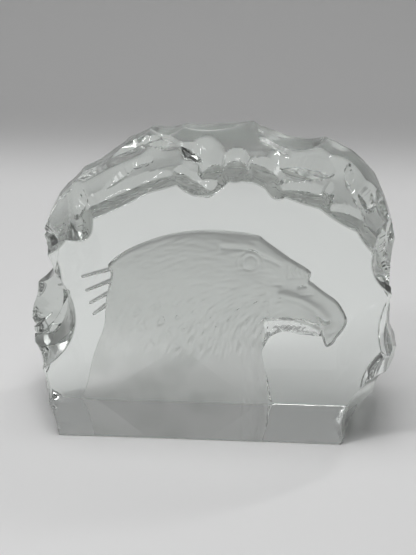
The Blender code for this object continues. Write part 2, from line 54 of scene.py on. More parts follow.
# The block. Lengths in mm, angles in degrees on a clock seen from the middle of its waist.
blockShape = {
    "width": 109.0,  # the plain block, before its rim is chipped
    "height": 87.6,
    "baseWidth": 101.0,
    "waistHeight": 27.0,
    "crestRise": 9.0,  # the mould's draft: the top climbs this much from the front face to the back
    "leftFullness": 2.4,  # 2 is an ellipse, more is squarer
    "rightFullness": 3.1,
    "around": 680,  # steps round the outline
    "aroundBase": 70,  # of them along the flat base
    "through": 82,  # steps from the front face to the back
    "crowding": 0.11,  # how much closer together they stand at the faces
    "edgeRound": 0.30,  # rounding where the chips meet the flat faces
    "ridgeSoftness": 0.16,  # rounding of the ridges between chips
    "ripple": 0.014,  # faint unevenness of the cast rim
    "rippleLength": 5.0,
    "rippleSeed": 5,
    "rippleFade": 4.0,  # it fades out this far above the base
    # angle, bite into the face, run as a share of the depth, half-width, half-length
    "frontChips": (
        (-22, 12.8, 0.46, 23, 26), (-3, 3.6, 0.40, 34, 34), (14, 4.6, 0.60, 26, 40),
        (29, 6.7, 0.66, 28, 80), (39, 5.1, 0.66, 46, 80), (50, 5.3, 0.64, 55, 80),
        (60, 4.1, 0.62, 76, 80), (70, 4.1, 0.50, 14, 80), (92, 4.3, 0.60, 24, 80),
        (111, 2.5, 0.62, 90, 80), (122, 4.8, 0.64, 90, 80), (133, 8.2, 0.56, 18, 80),
        (141, 4.8, 0.60, 30, 80), (152.5, 7.4, 0.55, 14, 50), (168.5, 16.6, 0.66, 26, 40),
        (192, 6.8, 0.48, 24, 30), (206, 6.8, 0.44, 28, 30),
    ),
    "backChips": (
        (-21, 6.5, 0.36, 22, 28), (0, 5, 0.38, 26, 30), (19, 5.5, 0.30, 22, 28),
        (35, 6.5, 0.16, 26, 28), (50, 7, 0.12, 26, 26), (65, 8, 0.12, 30, 26),
        (81, 6, 0.12, 30, 24), (97, 7.5, 0.12, 30, 28), (114, 6.5, 0.12, 30, 26),
        (131, 7.5, 0.14, 26, 26), (148, 6, 0.24, 22, 26), (168, 8.5, 0.34, 22, 28),
        (190, 3.5, 0.30, 20, 28), (208, 2.5, 0.24, 20, 28),
    ),
    # angle, bite, place in the depth, half-width, half-length
    "crestChips": (
        (-28, 9.5, 0.45, 26, 40), (-16, 4, 0.45, 12, 60), (6, 3.3, 0.45, 12, 60),
        (17, 3.8, 0.45, 20, 60), (57, 1.0, 0.88, 20, 60), (69, 4.1, 0.88, 22, 60),
        (92, 1.8, 0.88, 50, 60), (103, 2.0, 0.88, 12, 60), (114, 1.6, 0.88, 40, 60),
        (123, 3.2, 0.85, 30, 60), (134, 1.2, 0.80, 38, 60), (158, 7.2, 0.45, 13, 50),
        (170, 1.5, 0.45, 16, 50), (190, 2.2, 0.45, 30, 50), (204, 3.2, 0.45, 30, 50),
    ),
    # angle, place in the depth, turn, half-length, half-width and half-height of the bowl, bite
    "rimCuts": (
        (121, 0.16, 0, 20, 6, 5, 1.2), (120, 0.58, 0, 20, 6, 5, 1.0),
        (118.5, 0.37, 29, 7, 1.6, 2.4, 0.8), (110.5, 0.42, 13, 3, 1.4, 2, 0.8),
        (133, 0.33, 60, 4.4, 1.6, 2.2, 0.9), (96, 0.14, -14, 7.5, 4.6, 4, 0.7),
        (97, 0.42, -18, 6, 4.5, 4, 0.9), (103, 0.53, -36, 7, 1.3, 1.8, 0.6),
        (102, 0.58, -57, 5.5, 1, 1.6, 0.5), (90, 0.30, 86, 7, 3.4, 3.4, 1.4),
        (82.5, 0.22, 90, 9, 3.8, 3.8, 1.8), (72, 0.53, -30, 6, 1.4, 2, 0.8),
        (74, 0.20, 0, 6, 6, 4, 1.0), (62.4, 0.40, 26, 8.5, 4, 4, 1.4),
        (60, 0.14, 22, 8.5, 4.6, 4, 1.1), (55, 0.20, 88, 6.5, 2, 2.4, 1.1),
        (50, 0.47, -69, 6.5, 1.1, 1.8, 0.7), (45, 0.34, -25, 4, 1.3, 1.8, 0.8),
        (43.5, 0.46, 55, 5, 3.2, 3.2, 1.2), (46, 0.14, 24, 7, 4.6, 4, 1.1),
        (38, 0.60, -50, 5.5, 2.6, 3, 1.0), (30, 0.62, -70, 5.5, 2, 2.6, 0.9),
        (28, 0.31, -50, 9.5, 4, 4, 1.2), (136, 0.56, -29, 4, 1.2, 1.8, 0.5),
        (145, 0.21, -77, 8.5, 1.8, 2.6, 0.8), (170, 0.34, 175, 9, 1.3, 1.8, 0.9),
        (174, 0.42, -5, 9, 1.2, 1.8, 0.9), (179, 0.50, -10, 8, 1.2, 1.8, 0.9),
        (77, 0.74, 0, 0.9, 0.9, 0.9, 0.7),  # a bubble pit
    ),
    "floorSlope": 6.0,  # how much their flat floors climb towards the back
    "sharpAngle": 38,  # ridges steeper than this stay crisp
    "flatFaceCorners": 40,  # only the two flat faces have more
}
blockWidth = blockShape["width"]
blockDepth = (nodeHigh.y - nodeLow.y) / mm
blockHeight = blockShape["height"]


def archReach(clock, share):
    # from the middle of the waist to the plain outline without its base, at a share of the depth
    halfWidth = blockWidth / 2
    arch = blockHeight - blockShape["waistHeight"] - blockShape["crestRise"] * (1 - share)
    across, rise = abs(math.cos(clock)), math.sin(clock)
    if rise >= 0:
        power = blockShape["rightFullness" if math.cos(clock) > 0 else "leftFullness"]
        return ((across / halfWidth) ** power + (rise / arch) ** power) ** (-1 / power)
    draft = (halfWidth - blockShape["baseWidth"] / 2) / blockShape["waistHeight"]
    return halfWidth / (across - draft * rise)


def baseReach(clock):
    rise = math.sin(clock)
    return -blockShape["waistHeight"] / rise if rise < -0.01 else farOut


def outlineFrame(clock, share):
    # point of the outline, the way out of it and the way along it
    def spot(angle):
        reach = min(archReach(angle, share), baseReach(angle))
        rise = blockShape["waistHeight"] + reach * math.sin(angle)
        return Vector((reach * math.cos(angle), 0, rise))
    step = math.radians(1.5)
    along = (spot(clock + step) - spot(clock - step)).normalized()
    return spot(clock), Vector((along.z, 0, -along.x)), along


def edgeScoop(row, side):
    # an egg-shaped bite that slants from a flat face out to the rim
    degrees, bite, run, across, along = row
    clock = math.radians(degrees)
    atFace, atRim = (0, run) if side < 0 else (1, 1 - run)
    point, outward, tangent = outlineFrame(clock, atFace)
    inDepth = Vector((0, side, 0))
    onFace = point - outward * bite + inDepth * blockDepth / 2
    onRim = outlineFrame(clock, atRim)[0] + inDepth * (blockDepth / 2 - run * blockDepth)
    chord = onRim - onFace
    facing = chord.cross(tangent).normalized()
    if facing.dot(outward) < 0:
        facing.negate()
    lift = along * math.sqrt(1 - (chord.length / 2 / along) ** 2)
    centre = (onFace + onRim) / 2 + facing * lift
    return centre, (tangent / across, chord.normalized() / along, facing / along), None


def crestScoop(row):
    # a bite across the rim, the long way from front to back
    degrees, bite, place, across, along = row
    point, outward, tangent = outlineFrame(math.radians(degrees), place)
    inDepth = Vector((0, 1, 0))
    centre = point + outward * (across - bite) + inDepth * blockDepth * (place - 0.5)
    return centre, (tangent / across, inDepth / along, outward / across), None


def scoopReach(starts, headings, scoop):
    # distance along each heading to the scoop, or very far where it misses
    centre, axes, floor = scoop
    axes = np.array(axes)
    offset = (starts - np.array(centre)) @ axes.T
    slant = headings @ axes.T
    a = (slant * slant).sum(axis=1)
    b = (slant * offset).sum(axis=1)
    c = (offset * offset).sum(axis=1) - 1
    root = b * b - a * c
    meets = (root > 0) & (b < 0)
    reach = np.where(meets, (-b - np.sqrt(np.maximum(root, 0))) / a, farOut)
    if floor:
        point, outward = np.array(floor)
        toFloor = (point - starts) @ outward / np.maximum(headings @ outward, 0.01)
        reach = np.maximum(reach, toFloor)
    return reach


def softLeast(values, softness):
    # the least of several lists, rounded over where two of them cross
    least = values.min(axis=0)
    total = np.exp(-(values - least) / softness).sum(axis=0)
    return least - softness * np.log(total)


def waves(spots, length, seed, count=9):
    # smooth bumps from a few crossing waves, about -1 to 1
    rng = np.random.RandomState(seed)
    total = np.zeros(len(spots))
    for _ in range(count):
        way = rng.normal(size=3)
        way *= 2 * math.pi / (length * rng.uniform(0.7, 1.5) * np.linalg.norm(way))
        total += np.sin(spots @ way + rng.uniform(0, 2 * math.pi))
    return total / math.sqrt(count / 2)


def waistRays(clock, share):
    # lines from the waist outwards, which every point of the outline lies on
    starts = np.zeros((len(clock), 3))
    starts[:, 1] = (share - 0.5) * blockDepth
    starts[:, 2] = blockShape["waistHeight"]
    return starts, np.stack((np.cos(clock), np.zeros(len(clock)), np.sin(clock)), axis=1)


def chippedReach(clock, share, scoops):
    starts, headings = waistRays(clock, share)
    reaches = [np.array([archReach(*spot) for spot in zip(clock, share)])]
    reaches.append(np.array([baseReach(angle) for angle in clock]))
    reaches += [scoopReach(starts, headings, scoop) for scoop in scoops]
    return softLeast(np.array(reaches), blockShape["ridgeSoftness"])


def rimCut(row, scoops):
    # a bowl in the chipped rim with a flat floor, turned from the way right towards the back
    degrees, place, turn, halfLength, halfWidth, deep, bite = row
    clock, step, turn = math.radians(degrees), math.radians(0.7), math.radians(turn)
    clocks, shares = clock + np.array((0, -step, step)), np.full(3, place)
    starts, headings = waistRays(clocks, shares)
    spots = starts + headings * chippedReach(clocks, shares, scoops)[:, None]
    point, right, left = [Vector(spot) for spot in spots]
    across = (right - left).normalized()
    slope = math.radians(blockShape["floorSlope"])
    inDepth = Vector((0, math.cos(slope), 0)) + across.cross((0, math.sin(slope), 0))
    outward = across.cross(inDepth)
    lengthwise = across * math.cos(turn) + inDepth * math.sin(turn)
    sideways = outward.cross(lengthwise)
    floor = point - outward * bite
    centre = floor + outward * deep / 2
    axes = lengthwise / halfLength, sideways / halfWidth, outward / deep
    return centre, axes, (floor, outward)


def chippedBlock():
    shape = blockShape
    around, through = shape["around"], shape["through"]
    bm = bmesh.new()
    bmesh.ops.create_circle(bm, segments=around, radius=1)
    ring = list(bm.edges)
    for _ in range(through):
        made = bmesh.ops.extrude_edge_only(bm, edges=ring)["geom"]
        ring = [item for item in made if isinstance(item, bmesh.types.BMEdge)]
        moved = [item for item in made if isinstance(item, bmesh.types.BMVert)]
        bmesh.ops.translate(bm, verts=moved, vec=(0, 0, 1))
    bmesh.ops.holes_fill(bm, edges=[edge for edge in bm.edges if edge.is_boundary])
    spots = np.array([vert.co for vert in bm.verts])
    turned = np.arctan2(spots[:, 1], spots[:, 0]) / (2 * math.pi) + 0.25  # 0 at the base's middle
    turned = (turned + 0.5) % 1 - 0.5
    baseHalf = math.atan2(shape["baseWidth"] / 2, shape["waistHeight"])
    stepShares = np.array((0, shape["aroundBase"] / around / 2, 0.5))
    fromBase = np.interp(np.abs(turned), stepShares, (0, baseHalf, math.pi))
    clock = fromBase * np.sign(turned) - math.pi / 2
    share = spots[:, 2] / through
    share = share - shape["crowding"] * np.sin(2 * math.pi * share)
    scoops = [edgeScoop(row, -1) for row in shape["frontChips"]]
    scoops += [edgeScoop(row, 1) for row in shape["backChips"]]
    scoops += [crestScoop(row) for row in shape["crestChips"]]
    scoops += [rimCut(row, scoops) for row in shape["rimCuts"]]
    starts, headings = waistRays(clock, share)
    reach = chippedReach(clock, share, scoops)
    toFace = blockDepth / 2 - np.abs(starts[:, 1])
    rounding = np.maximum(shape["edgeRound"] - toFace, 0)
    reach -= shape["edgeRound"] - np.sqrt(shape["edgeRound"] ** 2 - rounding ** 2)
    ends = starts + headings * reach[:, None]
    offBase = np.clip(ends[:, 2] / shape["rippleFade"], 0, 1)
    ripple = np.maximum(1 + waves(ends, shape["rippleLength"], shape["rippleSeed"]), 0)
    reach -= shape["ripple"] * offBase * ripple
    for vert, spot in zip(bm.verts, (starts + headings * reach[:, None]) * mm):
        vert.co = spot
    # faces of the rim get the second finish, which is darkened with painted shade
    for face in bm.faces:
        onBase = face.calc_center_median().z < 0.02 * mm
        face.material_index = 0 if len(face.verts) > 4 or onBase else 1
    bmesh.ops.recalc_face_normals(bm, faces=bm.faces)
    return bm


# The sunk head. Places are shares of its length, measured from the middle of the base.
headShape = {
    "length": 80.0,  # mm, as are the sizes down to the margin
    "depth": 5.0,
    "wallHeight": 0.9,
    "throatHeight": 3.6,  # the wall is this much higher along the underside of the beak
    "domeInset": 0.8,
    "domeRun": 18.0,
    "outsideRise": 1.2,
    "wallSoftness": 0.10,
    "pitch": 0.30,  # of the cutter's grid
    "backing": 3.0,
    "margin": 2.5,
    "wallSlope": 1.1,
    "throatSlope": 3.4,
    "troughWidth": 0.020,
    "lowWall": 0.25,  # share of the wall where the satin just fades out
    # each pair goes from where a form is absent to where it is full, along the head or up
    "lowWallDown": (0.52, 0.38),
    "lowWallBack": (0.215, 0.195),
    "throatStart": (0.185, 0.205),
    "throatEnd": (0.415, 0.395),
    "throatTop": (0.34, 0.32),
    "throatFoot": (0.215, 0.245),
    "beakStart": (0.235, 0.275),
    "beakFoot": (0.30, 0.34),
    "plainNeckTop": (0.24, 0.16),
    "plainNeckFront": (0.13, 0.08),
    "boldDown": (0.56, 0.42),
    "carvingFade": (0.0, 0.025),  # from the outline inwards
    "outline": (
        (-0.388, 0.558), (-0.308, 0.621), (-0.179, 0.675), (-0.050, 0.698), (0.078, 0.696),
        (0.161, 0.683), (0.188, 0.665), (0.280, 0.598), (0.329, 0.568), (0.359, 0.544),
        (0.356, 0.513), (0.368, 0.501), (0.413, 0.466), (0.458, 0.433), (0.489, 0.385),
        (0.499, 0.349), (0.485, 0.313), (0.464, 0.283), (0.450, 0.258), (0.424, 0.245),
        (0.408, 0.281), (0.393, 0.289), (0.325, 0.295), (0.269, 0.305), (0.220, 0.284),
        (0.195, 0.245), (0.184, 0.216), (0.193, 0.163), (0.209, 0.100), (0.223, 0.016),
        (0.228, -0.050), (-0.525, -0.050), (-0.516, -0.010), (-0.488, 0.056),
        (-0.465, 0.154), (-0.443, 0.226), (-0.413, 0.309), (-0.403, 0.411),
        (-0.383, 0.513),
    ),
    "outlineSteps": 8,  # between two of its points
    # place, spread, height
    "roundForms": (
        ((0.060, 0.470), 0.130, 0.010),  # cheek
        ((0.145, 0.566), 0.040, -0.010),  # eye socket
        ((0.238, 0.500), 0.045, -0.008),  # between the eye and the beak
    ),
    # half-width, height, line
    "lineForms": (
        (0.014, 0.003, ((0.036, 0.655), (0.125, 0.650), (0.180, 0.618), (0.250, 0.585))),  # brow
        (0.007, -0.0040, (  # under the brow
            (0.033, 0.637), (0.117, 0.632), (0.150, 0.621), (0.172, 0.606), (0.245, 0.573),
        )),
        (0.007, -0.0055, ((0.194, 0.350), (0.276, 0.356), (0.331, 0.352), (0.391, 0.332))),  # mouth
        (0.006, -0.0026, ((0.275, 0.570), (0.276, 0.523), (0.359, 0.527))),  # edge of the cere
        (0.005, -0.0050, ((0.317, 0.485), (0.331, 0.490), (0.342, 0.489))),  # nostril
        (0.004, -0.0025, ((0.321, 0.457), (0.369, 0.459))),  # crease behind it
        (0.020, 0.013, ((0.251, 0.459), (0.322, 0.441), (0.389, 0.400), (0.420, 0.366))),  # beak
        (0.006, -0.0012, ((0.071, 0.486), (0.100, 0.495), (0.137, 0.507))),  # cheek
        (0.006, -0.0012, ((0.181, 0.505), (0.210, 0.494), (0.247, 0.499))),
        (0.006, -0.0012, ((0.041, 0.449), (0.119, 0.455), (0.204, 0.454))),
        (0.006, -0.0012, ((0.042, 0.425), (0.101, 0.443), (0.204, 0.446))),
        # down the throat
        (0.0045, -0.0013, ((0.100, 0.330), (0.118, 0.240), (0.150, 0.120), (0.160, 0.040))),
        (0.0045, -0.0013, ((0.128, 0.350), (0.142, 0.250), (0.172, 0.130), (0.184, 0.040))),
        (0.0045, -0.0013, ((0.160, 0.350), (0.162, 0.250), (0.186, 0.150), (0.200, 0.060))),
    ),
    "eye": (0.136, 0.579),
    "eyeRadius": 0.027,
    "eyeBulge": 0.0045,
    "lidWidth": 0.005,
    "lidDepth": 0.0022,
    "socketRadius": 0.046,
    "socketUp": (-0.035, 0.02),  # from the eye's height, so that the arc is open below
    "mouth": ((0.175, 0.345), (0.235, 0.357), (0.303, 0.353), (0.356, 0.338), (0.400, 0.314)),
    "belowMouth": (-0.004, 0.012),
    "jawStart": (0.19, 0.23),
    "jawSlant": 0.3,
    "jawPivot": 0.26,
    "jawEnd": (0.41, 0.39),
    "jawFoot": (0.235, 0.255),
    "jawDrop": 0.006,
    "jawFacets": 0.0016,
    "facetLengths": (0.017, 0.021),
    "cereStart": (0.272, 0.280),
    "cereEnd": (0.362, 0.356),
    "cereFoot": (0.522, 0.530),
    "cereRidges": 0.0014,
    "cerePitch": 0.0145,
    "cereWander": (0.6, 0.012),  # how far its ridges stray, in ridges, and over what length
    "flowCentre": (0.275, 0.500),
    "flowTwist": 0.95,
    "laneAngle": 0.125,
    "firstRow": 0.100,
    "rowGrowth": 1.17,
    "rowsFrom": (0.17, 0.27),  # from the flow's centre outwards
    "rowStrength": 0.10,
    "rowCurve": 0.30,
    "overlapCurve": 0.45,
    "overlapMost": 1.2,
    "featherHeight": 0.0018,
    "featherSlopes": (0.6, 0.5),  # up to the tip and up to the shaft
    "featherGrowth": (0.35, 1.2),  # small on the face, long down the neck
    "scallopPlace": (-0.17, 0.33),
    "scallopSpread": (0.17, 0.11),
    "scallopStrength": 3.0,
    "tipEdgeCurve": 0.35,
    "tipEdgeWidth": 0.11,
    "tipEdgeDepth": 0.0056,
    "strokeHeight": 0.0007,
    "strokeBoldness": (0.6, 0.7),  # over the crown, and how much more down the neck
    "strokeSteps": 6,
    "strokeSeed": 11,
    # where the strokes run which way: place, then degrees
    "strokeGuides": (
        (0.25, 0.60, 144), (0.13, 0.66, 168), (0.00, 0.68, 180), (-0.20, 0.65, 203),
        (-0.35, 0.56, 205), (0.00, 0.57, 186), (-0.15, 0.50, 207), (-0.35, 0.40, 226),
        (0.10, 0.50, 196), (0.12, 0.45, 184), (0.10, 0.38, 222), (0.15, 0.33, 256),
        (0.16, 0.22, 284), (0.09, 0.27, 280), (0.02, 0.25, 262), (-0.05, 0.25, 245),
        (-0.10, 0.32, 236), (-0.20, 0.12, 250), (0.00, 0.10, 262), (0.16, 0.10, 287),
        (-0.42, 0.20, 248), (-0.25, 0.25, 238), (0.20, 0.40, 200),
    ),
    "guideSpread": 0.075,
    "napeTips": 4,
    "napeRoot": (-0.372, 0.540),
    "napeStep": (-0.010, -0.049),
    "napeLength": 0.122,
    "napeShortening": 0.020,
    "napeHeading": 197,
    "napeFan": 7,
    "napeWidth": 0.009,
    "napePoint": 0.006,
    "napeDepth": 0.009,
}


def smoothLoop(points, steps):
    # a closed curve through all the points
    points = np.asarray(points)
    before = np.roll(points, 1, axis=0)[:, None]
    after = np.roll(points, -1, axis=0)[:, None]
    beyond = np.roll(points, -2, axis=0)[:, None]
    t = (np.arange(steps) / steps)[None, :, None]
    here = points[:, None]
    curve = here + t * (after - before) / 2
    curve = curve + t ** 2 * (2 * before - 5 * here + 4 * after - beyond) / 2
    curve = curve + t ** 3 * (3 * here - 3 * after + beyond - before) / 2
    return curve.reshape(-1, 2)


def lineDistance(u, v, line, closed=False):
    # how far the nearest point of the line is, and how far along the line it lies
    line = np.asarray(line)
    ends = np.roll(line, -1, axis=0) if closed else line[1:]
    starts = line if closed else line[:-1]
    nearest = np.full(u.shape, np.inf)
    place = np.zeros(u.shape)
    for index, (start, end) in enumerate(zip(starts, ends)):
        piece = end - start
        share = ((u - start[0]) * piece[0] + (v - start[1]) * piece[1]) / (piece @ piece)
        share = np.clip(share, 0, 1)
        away = np.hypot(u - start[0] - share * piece[0], v - start[1] - share * piece[1])
        place = np.where(away < nearest, (index + share) / len(starts), place)
        nearest = np.minimum(nearest, away)
    return nearest, place


def insideLoop(u, v, loop):
    # a place is inside when the loop passes it an odd number of times
    inside = np.zeros(u.shape, dtype=bool)
    for start, end in zip(loop, np.roll(loop, -1, axis=0)):
        spans = (start[1] > v) != (end[1] > v)
        rise = end[1] - start[1] if end[1] != start[1] else 1
        inside ^= spans & (u < start[0] + (v - start[1]) * (end[0] - start[0]) / rise)
    return inside


def ease(value, ends):
    # 0 at the first end, 1 at the second, smooth between them
    share = np.clip((value - ends[0]) / (ends[1] - ends[0]), 0, 1)
    return share * share * (3 - 2 * share)


def blurred(field):
    for axis in (0, 1):
        field = (field + np.roll(field, 1, axis) + np.roll(field, -1, axis)) / 3
    return field


def strokeFlow(u, v):
    # direction in which the feathers lie, blended between the guides
    alongU = np.zeros(u.shape)
    alongV = np.zeros(u.shape)
    for guideU, guideV, degrees in headShape["strokeGuides"]:
        squared = (u - guideU) ** 2 + (v - guideV) ** 2
        weight = np.exp(-squared / (2 * headShape["guideSpread"] ** 2)) + 1e-9
        alongU += weight * math.cos(math.radians(degrees))
        alongV += weight * math.sin(math.radians(degrees))
    size = np.hypot(alongU, alongV)
    return alongU / size, alongV / size


def featherStrokes(u, v):
    # grain smeared along the flow, which leaves fine strokes the way the feathers lie
    alongU, alongV = strokeFlow(u, v)
    rng = np.random.RandomState(headShape["strokeSeed"])
    grain = blurred(rng.normal(size=u.shape))
    rows, columns = u.shape
    rowStart, columnStart = np.meshgrid(np.arange(rows), np.arange(columns), indexing="ij")
    total = grain.copy()
    for sign in (-1, 1):
        row, column = rowStart.astype(float), columnStart.astype(float)
        for step in range(headShape["strokeSteps"]):
            nearRow = np.clip(np.rint(row).astype(int), 0, rows - 1)
            nearColumn = np.clip(np.rint(column).astype(int), 0, columns - 1)
            row = row + sign * alongV[nearRow, nearColumn]
            column = column + sign * alongU[nearRow, nearColumn]
            nearRow = np.clip(np.rint(row).astype(int), 0, rows - 1)
            nearColumn = np.clip(np.rint(column).astype(int), 0, columns - 1)
            total += grain[nearRow, nearColumn] * (1 - step / headShape["strokeSteps"])
    return total / total.std()


def featherRows(u, v):
    # slopes of the overlapping rows, and the fine grooves round the tips of the feathers
    shape = headShape
    offU, offV = u - shape["flowCentre"][0], v - shape["flowCentre"][1]
    away = np.hypot(offU, offV)
    turn = np.arctan2(offV, offU) % (2 * math.pi)
    lane = (turn - shape["flowTwist"] * away) / shape["laneAngle"]
    row = np.log(np.maximum(away, shape["firstRow"] / 2) / shape["firstRow"])
    row = row / math.log(shape["rowGrowth"])
    lobe = np.cos(2 * math.pi * (lane + 0.5 * np.floor(row)))
    rowStart = np.floor(row + shape["rowCurve"] * lobe)
    across = (lane + 0.5 * rowStart) % 1 - 0.5  # over one feather's width
    overlap = row + shape["overlapCurve"] * np.cos(2 * math.pi * across) - rowStart
    toTip, toShaft = shape["featherSlopes"]
    slope = toTip * np.clip(overlap, 0, shape["overlapMost"]) + toShaft * (0.5 - np.abs(across))
    small, longer = shape["featherGrowth"]
    growth = (small + longer * away) * ease(away, shape["rowsFrom"])
    lobe = np.maximum(lobe, 0)
    pastTip = (row - shape["tipEdgeCurve"] * lobe) % 1
    toEdge = np.minimum(pastTip, 1 - pastTip) / shape["tipEdgeWidth"]
    grooves = shape["tipEdgeDepth"] * np.exp(-(toEdge ** 2)) * lobe
    return blurred(shape["featherHeight"] * slope * growth), grooves


def napeTips(u, v):
    # the feather tips that stand out behind the neck
    shape = headShape
    depth = np.full(u.shape, -1.0)
    for tip in range(shape["napeTips"]):
        root = np.array(shape["napeRoot"]) + tip * np.array(shape["napeStep"])
        length = shape["napeLength"] - tip * shape["napeShortening"]
        heading = math.radians(shape["napeHeading"] + tip * shape["napeFan"])
        end = root + length * np.array((math.cos(heading), math.sin(heading)))
        away, share = lineDistance(u, v, (root, end))
        halfWidth = shape["napeWidth"] + (shape["napePoint"] - shape["napeWidth"]) * share
        ridge = shape["napeDepth"] * (1 - share / 2)
        depth = np.maximum(depth, ridge * (1 - away / halfWidth))
    return depth


def jawShare(u, v):
    # 1 on the lower jaw, which is polished, 0 elsewhere
    shape = headShape
    mouthHeight = np.interp(u, *zip(*shape["mouth"]))
    slanted = u + shape["jawSlant"] * (v - shape["jawPivot"])
    jaw = ease(mouthHeight - v, shape["belowMouth"]) * ease(slanted, shape["jawStart"])
    return jaw * ease(u, shape["jawEnd"]) * ease(v, shape["jawFoot"])


def headWall(u, v, inset):
    # mm down the slope of the outline and over the swelling of the head
    shape = headShape
    length = shape["length"]
    fadesOut = ease(v, shape["lowWallDown"]) * ease(u, shape["lowWallBack"])
    lowered = 1 - (1 - shape["lowWall"]) * fadesOut
    throat = ease(u, shape["throatStart"]) * ease(u, shape["throatEnd"])
    throat = throat * ease(v, shape["throatTop"]) * ease(v, shape["throatFoot"])
    trough = shape["throatHeight"] * throat * np.exp(-np.maximum(inset, 0) / shape["troughWidth"])
    slope = shape["wallSlope"] + shape["throatSlope"] * throat
    slopes = np.array((slope * inset * length, shape["wallHeight"] * lowered + trough))
    swell = 1 - np.exp(-np.maximum(inset * length - shape["domeInset"], 0) / shape["domeRun"])
    swelling = (shape["depth"] - shape["wallHeight"]) * swell
    return softLeast(slopes, shape["wallSoftness"]) + swelling


def plumage(u, v):
    # scalloped rows on the side of the neck and fine strokes, none of them on the beak
    shape = headShape
    covered = 1 - ease(u, shape["beakStart"]) * ease(v, shape["beakFoot"])
    plainNeck = ease(v, shape["plainNeckTop"]) * ease(u, shape["plainNeckFront"])
    scallopU = (u - shape["scallopPlace"][0]) / shape["scallopSpread"][0]
    scallopV = (v - shape["scallopPlace"][1]) / shape["scallopSpread"][1]
    scallops = np.exp(-(scallopU ** 2 + scallopV ** 2))
    rows, grooves = featherRows(u, v)
    strength = shape["rowStrength"] + shape["scallopStrength"] * scallops
    crown, more = shape["strokeBoldness"]
    boldness = crown + more * ease(v, shape["boldDown"])
    strokes = shape["strokeHeight"] * boldness * featherStrokes(u, v)
    return rows * covered * strength - grooves * scallops + strokes * covered * (1 - plainNeck)


def eyeForms(u, v):
    # the ball, its lid and the arc of the socket over it
    shape = headShape
    toEye = np.hypot(u - shape["eye"][0], v - shape["eye"][1])
    ball = np.maximum(1 - (toEye / shape["eyeRadius"]) ** 2, 0) ** 1.5
    lid = np.exp(-(((toEye - shape["eyeRadius"]) / shape["lidWidth"]) ** 2))
    socket = np.exp(-(((toEye - shape["socketRadius"]) / shape["lidWidth"]) ** 2))
    socket = socket * ease(v - shape["eye"][1], shape["socketUp"])
    return shape["eyeBulge"] * ball - shape["lidDepth"] * (lid + socket)


def beakForms(u, v):
    # the cut facets of the sunken lower jaw, and the ridges of the cere
    shape = headShape
    longFacet, highFacet = shape["facetLengths"]
    facets = np.sin(2 * math.pi * u / longFacet)
    facets = facets * np.sin(2 * math.pi * (v + shape["jawSlant"] * u) / highFacet)
    drop = jawShare(u, v) * (shape["jawDrop"] - shape["jawFacets"] * facets)
    cere = ease(u, shape["cereStart"]) * ease(u, shape["cereEnd"]) * ease(v, shape["cereFoot"])
    stray, strayLength = shape["cereWander"]
    ridges = np.sin(2 * math.pi * (u / shape["cerePitch"] + stray * np.sin(v / strayLength)))
    return shape["cereRidges"] * cere * ridges - drop


def headDepth(u, v):
    # mm sunk below the back face, less than 0 outside the head
    shape = headShape
    length = shape["length"]
    loop = smoothLoop(shape["outline"], shape["outlineSteps"])
    edge, _ = lineDistance(u, v, loop, closed=True)
    inset = np.where(insideLoop(u, v, loop), edge, -edge)
    carving = plumage(u, v) + eyeForms(u, v) + beakForms(u, v)
    for place, spread, height in shape["roundForms"]:
        squared = (u - place[0]) ** 2 + (v - place[1]) ** 2
        carving = carving + height * np.exp(-squared / (2 * spread ** 2))
    for halfWidth, height, line in shape["lineForms"]:
        away, _ = lineDistance(u, v, line)
        carving = carving + height * np.exp(-((away / halfWidth) ** 2))
    depth = headWall(u, v, inset) + carving * length * ease(inset, shape["carvingFade"])
    depth = np.maximum(depth, napeTips(u, v) * length)
    return np.maximum(depth, -shape["outsideRise"])


def headCutter():
    shape = headShape
    outline = np.array(shape["outline"]) * shape["length"]
    lowX, highX = outline[:, 0].min() - shape["margin"], outline[:, 0].max() + shape["margin"]
    lowZ, highZ = -shape["margin"], outline[:, 1].max() + shape["margin"]
    columns = round((highX - lowX) / shape["pitch"])
    rows = round((highZ - lowZ) / shape["pitch"])
    bm = bmesh.new()
    bmesh.ops.create_grid(bm, x_segments=columns, y_segments=rows, size=0.5)
    spots = np.array([vert.co[:2] for vert in bm.verts]) + 0.5
    lineX = np.linspace(lowX, highX, columns + 1)
    lineZ = np.linspace(lowZ, highZ, rows + 1)
    gridX, gridZ = np.meshgrid(lineX, lineZ)
    depth = headDepth(gridX / shape["length"], gridZ / shape["length"])
    column = np.rint(spots[:, 0] * columns).astype(int)
    row = np.rint(spots[:, 1] * rows).astype(int)
    for vert, i, j in zip(bm.verts, column, row):
        vert.co = Vector((lineX[i], blockDepth / 2 - depth[j, i], lineZ[j])) * mm
    walls = bmesh.ops.extrude_edge_only(bm, edges=[e for e in bm.edges if e.is_boundary])
    for item in walls["geom"]:
        if isinstance(item, bmesh.types.BMVert):
            item.co.y = (blockDepth / 2 + shape["backing"]) * mm
    bmesh.ops.holes_fill(bm, edges=[edge for edge in bm.edges if edge.is_boundary])
    bmesh.ops.recalc_face_normals(bm, faces=bm.faces)
    middles = np.array([face.calc_center_median() for face in bm.faces]) / (shape["length"] * mm)
    polished = jawShare(middles[:, 0], middles[:, 2]) > 0.5
    for face, clear in zip(bm.faces, polished):
        face.material_index = int(clear)
    return bm


def objectFrom(bm, name, *finishes):
    mesh = bpy.data.meshes.new(name)
    bm.to_mesh(mesh)
    bm.free()
    for finish in finishes:
        mesh.materials.append(finish)
    made = bpy.data.objects.new(name, mesh)
    collection.objects.link(made)
    return made


class Wire:
    # a shader socket that takes part in plain sums
    def __init__(self, finish, socket):
        self.finish = finish
        self.socket = socket

    def __add__(self, other):
        return self.finish.sum("ADD", self, other)

    def __mul__(self, other):
        return self.finish.sum("MULTIPLY", self, other)

    __radd__ = __add__
    __rmul__ = __mul__


